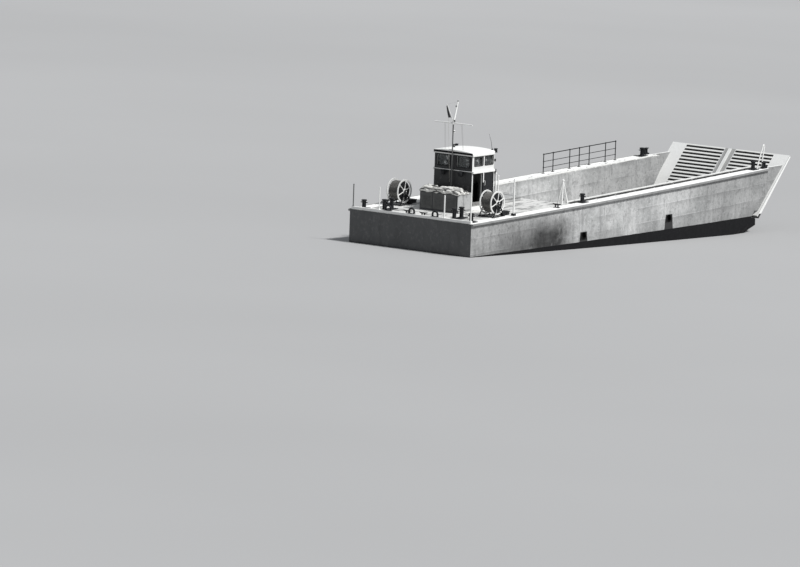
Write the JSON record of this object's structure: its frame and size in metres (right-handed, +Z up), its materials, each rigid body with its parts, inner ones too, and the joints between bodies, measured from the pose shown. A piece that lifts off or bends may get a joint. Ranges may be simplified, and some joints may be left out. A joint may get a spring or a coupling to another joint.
{
  "type": "mechanised landing craft with bow ramp",
  "caption": "Flat-bottomed landing craft with an open cargo well, hinged bow ramp with tread bars, small wheelhouse and mast aft, mooring reels, bollards, and screws in tunnels.",
  "frame": {"origin": "on the flat bottom, on the centre line, 11.314 m forward of the transom", "axes": "+X forward towards the bow ramp, +Y to port, +Z up"},
  "size_m": [22.3653, 6.6026, 7.1549],
  "materials": {
    "hull_grey": "weathered matt paint",
    "house_white": "weathered white paint",
    "dark_grey": "matt paint",
    "deck_grey": "worn deck paint",
    "steel": "worn galvanised",
    "bronze": "dull cast bronze",
    "glass": "clear",
    "canvas": "weathered canvas",
    "flag_cloth": "plain bunting"
  },
  "bodies": {
    "hull": {"hull_aft": "hull_grey", "hull_bottom": "hull_grey", "wing_starboard": "hull_grey", "wing_port": "hull_grey", "cargo_deck": "deck_grey", "wheelhouse_walls": "house_white", "wheelhouse_roof": "house_white", "glass_aft": "glass", "glass_front": "glass", "glass_starboard": "glass", "glass_port": "glass", "engine_trunk": "hull_grey", "mast": "house_white", "rub_rail_starboard": "house_white", "rub_rail_port": "house_white", "skeg_starboard": "hull_grey", "skeg_port": "hull_grey", "door_track_starboard": "steel", "door_track_port": "steel", "door_hood_starboard": "house_white", "door_hood_port": "house_white", "engine_starboard": "dark_grey", "engine_port": "dark_grey", "reel_stand_starboard": "steel", "reel_stand_port": "steel", "bow_bollards_starboard": "dark_grey", "bow_bollards_port": "dark_grey", "side_bollards_starboard": "dark_grey", "side_bollards_port": "dark_grey", "stern_bollard_starboard": "dark_grey", "stern_bollard_port": "dark_grey", "helm_console": "dark_grey", "canvas_cover": "canvas", "flag": "flag_cloth", "stern_fittings": "house_white", "guard_rail_port": "steel", "vent_pipes": "house_white", "deck_post": "house_white", "deck_tripod": "house_white", "bow_frame": "house_white", "well_coaming_starboard": "house_white", "bow_fairlead_starboard": "dark_grey", "stern_bitts_starboard": "dark_grey", "well_coaming_port": "house_white", "bow_fairlead_port": "dark_grey", "stern_bitts_port": "dark_grey"},
    "ramp": {"bow_ramp": "deck_grey"},
    "engine_hatch": {"engine_hatch": "hull_grey"},
    "rudder_starboard": {"rudder_starboard": "hull_grey"},
    "rudder_port": {"rudder_port": "hull_grey"},
    "propeller_starboard": {"propeller_starboard": "bronze"},
    "propeller_port": {"propeller_port": "bronze"},
    "door_starboard": {"wheelhouse_door_starboard": "dark_grey"},
    "door_port": {"wheelhouse_door_port": "dark_grey"},
    "reel_starboard": {"rope_reel_starboard": "steel"},
    "reel_port": {"rope_reel_port": "steel"}
  },
  "joints": [
    {"name": "ramp_lower", "type": "hinge", "parent": "hull", "child": "ramp", "pos_m": [8.716, 0, 1.308], "axis": [0, 1, 0], "range_deg": [0, 62]},
    {"name": "engine_hatch_open", "type": "hinge", "parent": "hull", "child": "engine_hatch", "pos_m": [-6.204, 0, 3.0499], "axis": [0, -1, 0], "range_deg": [0, 100]},
    {"name": "rudder_starboard_turn", "type": "hinge", "parent": "hull", "child": "rudder_starboard", "pos_m": [-10.414, -1.45, 0.6], "axis": [0, 0, 1], "range_deg": [-35, 35]},
    {"name": "rudder_port_turn", "type": "hinge", "parent": "hull", "child": "rudder_port", "pos_m": [-10.414, 1.45, 0.6], "axis": [0, 0, 1], "range_deg": [-35, 35]},
    {"name": "propeller_starboard_spin", "type": "hinge", "parent": "hull", "child": "propeller_starboard", "pos_m": [-9.614, -1.45, 0.62], "axis": [1, 0, 0], "continuous": true},
    {"name": "propeller_port_spin", "type": "hinge", "parent": "hull", "child": "propeller_port", "pos_m": [-9.614, 1.45, 0.62], "axis": [1, 0, 0], "continuous": true},
    {"name": "door_starboard_slide", "type": "slide", "parent": "hull", "child": "door_starboard", "axis": [-1, 0, 0], "range_m": [0, 0.63]},
    {"name": "door_port_slide", "type": "slide", "parent": "hull", "child": "door_port", "axis": [-1, 0, 0], "range_m": [0, 0.63]},
    {"name": "reel_starboard_spin", "type": "hinge", "parent": "hull", "child": "reel_starboard", "pos_m": [-9.034, -2.294, 3.3598], "axis": [0, 1, 0], "continuous": true},
    {"name": "reel_port_spin", "type": "hinge", "parent": "hull", "child": "reel_port", "pos_m": [-9.034, 2.294, 3.3598], "axis": [0, 1, 0], "continuous": true}
  ]
}
